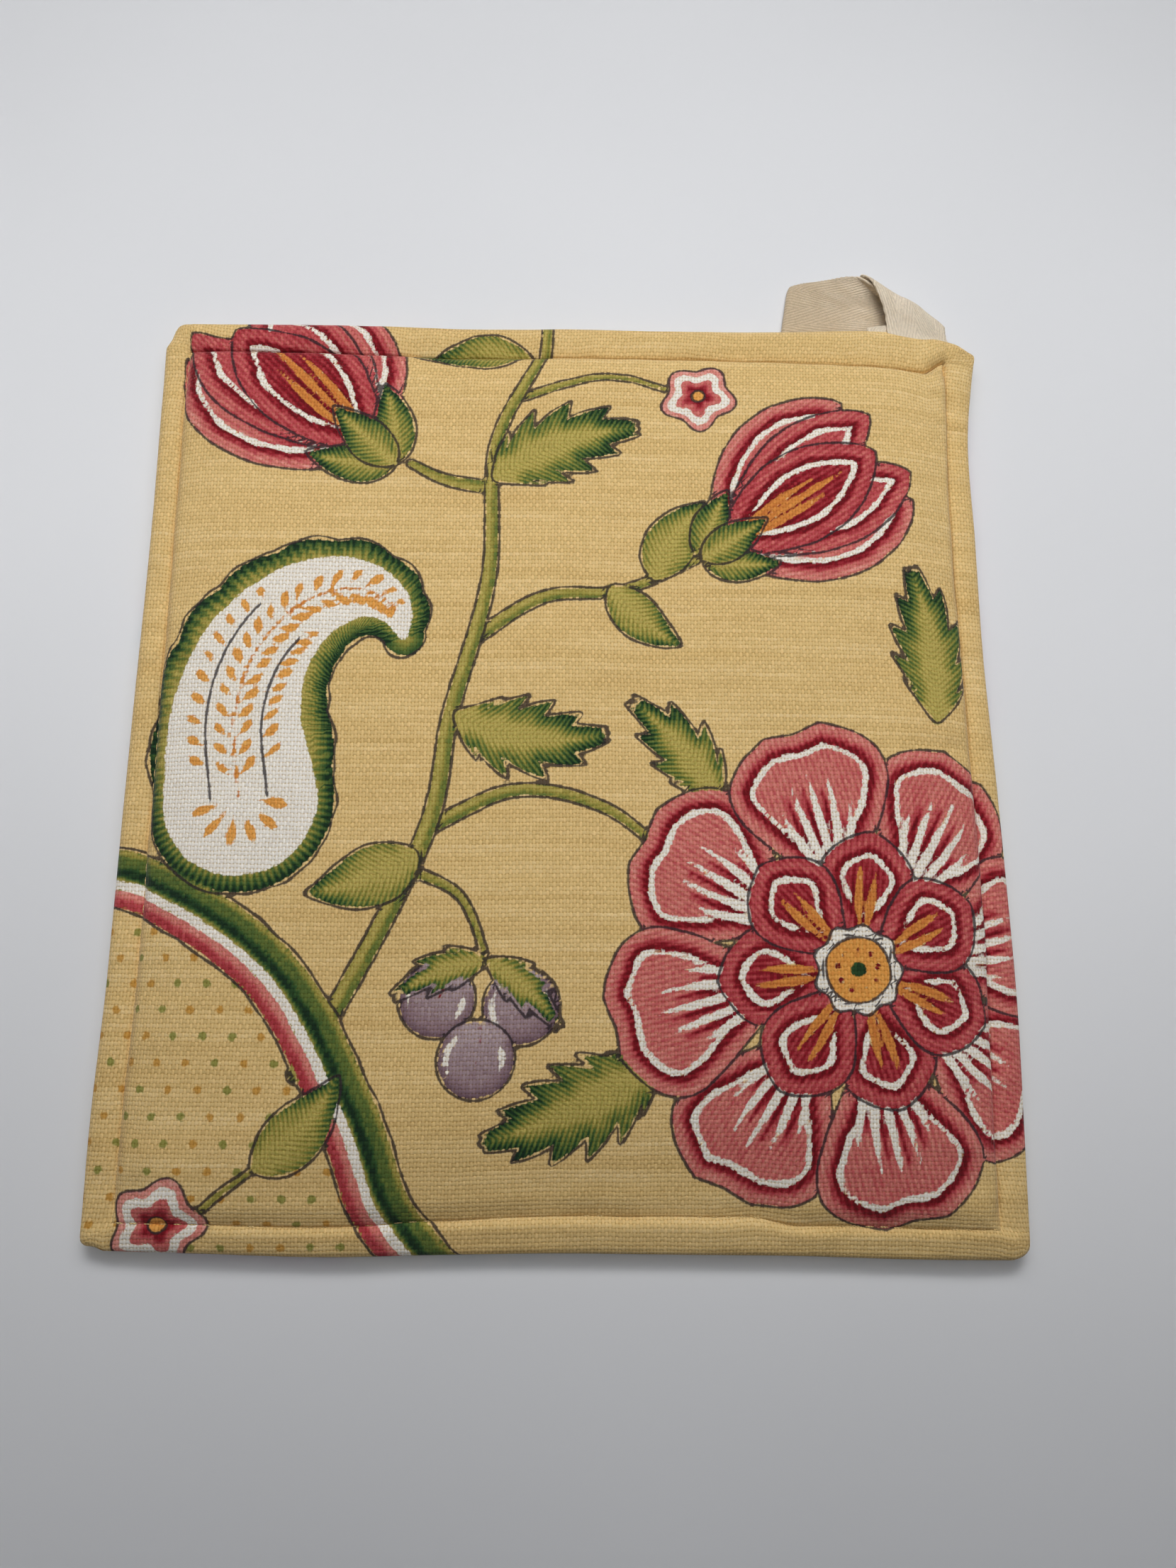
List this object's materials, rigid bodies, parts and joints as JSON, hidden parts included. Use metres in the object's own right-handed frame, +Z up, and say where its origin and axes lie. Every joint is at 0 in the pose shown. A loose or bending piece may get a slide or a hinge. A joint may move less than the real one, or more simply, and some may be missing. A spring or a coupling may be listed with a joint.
{
  "type": "quilted pot holder",
  "caption": "Padded, nearly square cloth pot holder lying flat, with a sewn channel round its edge and a folded twill tape loop sewn in beside a corner.",
  "frame": {"origin": "middle of the flat underside, on the surface that the pot holder lies on", "axes": "+Z up out of the printed front, +Y along the depth towards the loop's edge, +X to the right as seen from above"},
  "size_m": [0.2056, 0.2396, 0.0107],
  "materials": {
    "printed_cloth": "matte plain weave, printed with flowers and leaves on golden buff",
    "twill_tape": "matte ecru herringbone twill"
  },
  "bodies": {
    "root": {"padded_body": "printed_cloth", "hanging_loop": "twill_tape"}
  },
  "joints": []
}
